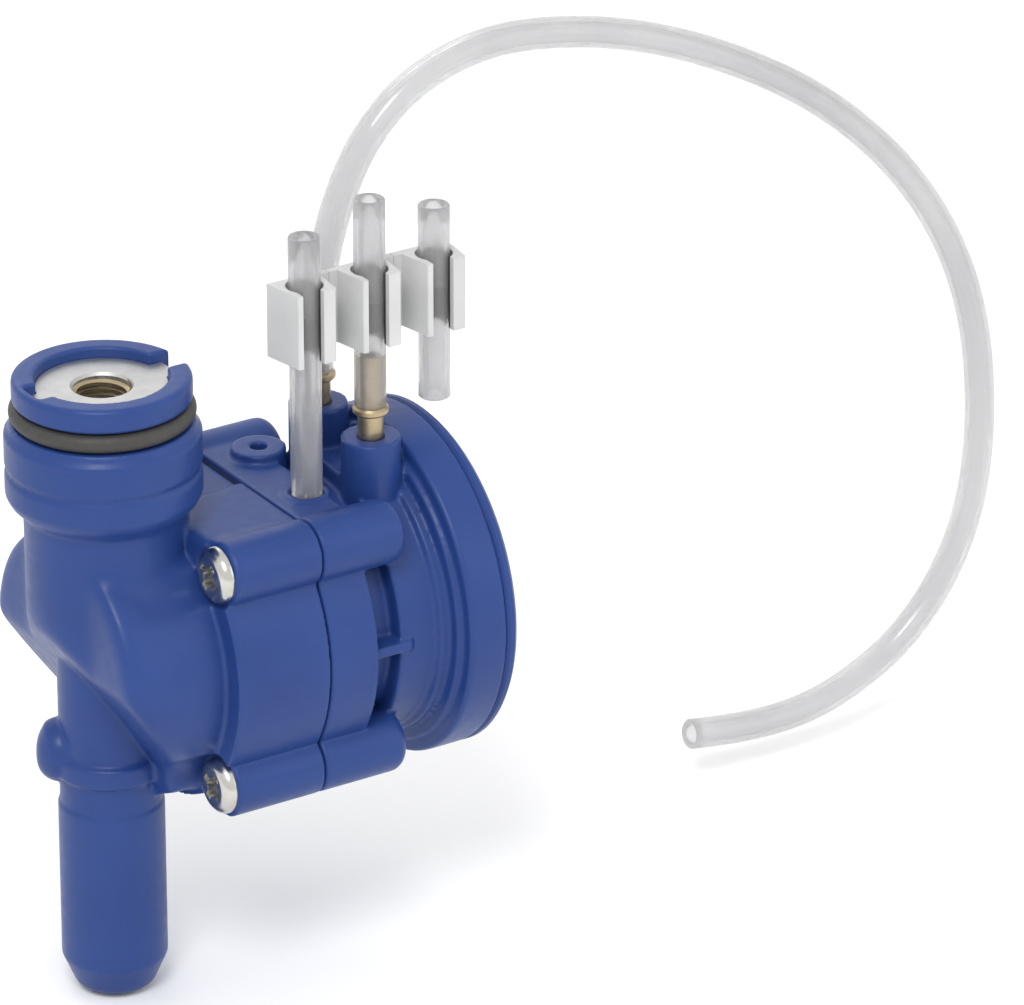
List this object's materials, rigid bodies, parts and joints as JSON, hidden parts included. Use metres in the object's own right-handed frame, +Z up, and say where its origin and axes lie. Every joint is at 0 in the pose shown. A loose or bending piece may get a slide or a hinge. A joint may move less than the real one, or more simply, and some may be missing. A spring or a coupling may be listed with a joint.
{
  "type": "drum barrel pump",
  "caption": "Air-driven diaphragm pump head for a drum: vertical pipe with spigot and threaded outlet, round flange, brass barbs, clear hoses in clips.",
  "frame": {"origin": "on the pipe axis, 6.5 mm below the spigot's shoulder, where the suction tube's rim comes to rest just under the clamped body", "axes": "+Z up along the pipe from the spigot to the threaded outlet, +X along the chamber from the pipe to the round flange"},
  "size_m": [0.2267, 0.0674, 0.1706],
  "materials": {
    "blue_plastic": "satin moulded plastic",
    "black_rubber": "matt",
    "zinc_steel": "bright zinc plate",
    "light_metal": "satin",
    "light_plastic": "satin",
    "brass": "turned, slightly dull",
    "clear_hose": "clear flexible hose",
    "dark_plastic": "satin",
    "white_plastic": "satin"
  },
  "bodies": {
    "housing": {"front_housing": "blue_plastic", "rear_housing": "blue_plastic", "rear_cover": "blue_plastic", "housing_gasket": "black_rubber", "housing_screws": "zinc_steel", "neck_seal": "black_rubber", "outlet_plate": "light_metal", "suction_seat": "light_plastic", "suction_cage": "light_plastic", "delivery_seat": "light_plastic", "delivery_cage": "light_plastic", "rod_seal": "black_rubber", "rod_bush": "brass", "return_spring": "zinc_steel", "diaphragm": "black_rubber", "barb_1": "brass", "barb_2": "brass", "free_hose": "clear_hose", "hose_1": "clear_hose", "restrictor_1": "dark_plastic", "hose_2": "clear_hose", "restrictor_2": "dark_plastic"},
    "drive": {"push_rod": "zinc_steel", "plunger": "light_plastic", "plunger_seal": "black_rubber", "front_backing": "light_metal", "rear_backing": "light_metal", "rod_nut": "zinc_steel"},
    "suction_ball": {"suction_ball": "light_metal"},
    "delivery_ball": {"delivery_ball": "light_metal"},
    "clip_row": {"clip_1": "white_plastic", "clip_2": "white_plastic", "clip_3": "white_plastic", "liner_1": "black_rubber", "liner_2": "black_rubber", "liner_3": "black_rubber", "hose_3": "clear_hose", "restrictor_3": "dark_plastic"}
  },
  "joints": [
    {"name": "rod_slide", "type": "slide", "parent": "housing", "child": "drive", "axis": [-1, 0, 0], "range_m": [0, 0.005], "stiffness_N_per_m": 600, "springref_m": -0.004, "deforming": ["return_spring", "diaphragm"]},
    {"name": "suction_lift", "type": "slide", "parent": "housing", "child": "suction_ball", "axis": [0, 0, 1], "range_m": [0, 0.003]},
    {"name": "delivery_lift", "type": "slide", "parent": "housing", "child": "delivery_ball", "axis": [0, 0, 1], "range_m": [0, 0.003]},
    {"name": "clip_row_slide", "type": "slide", "parent": "housing", "child": "clip_row", "axis": [0, 0, 1], "range_m": [-0.004, 0.006]}
  ]
}
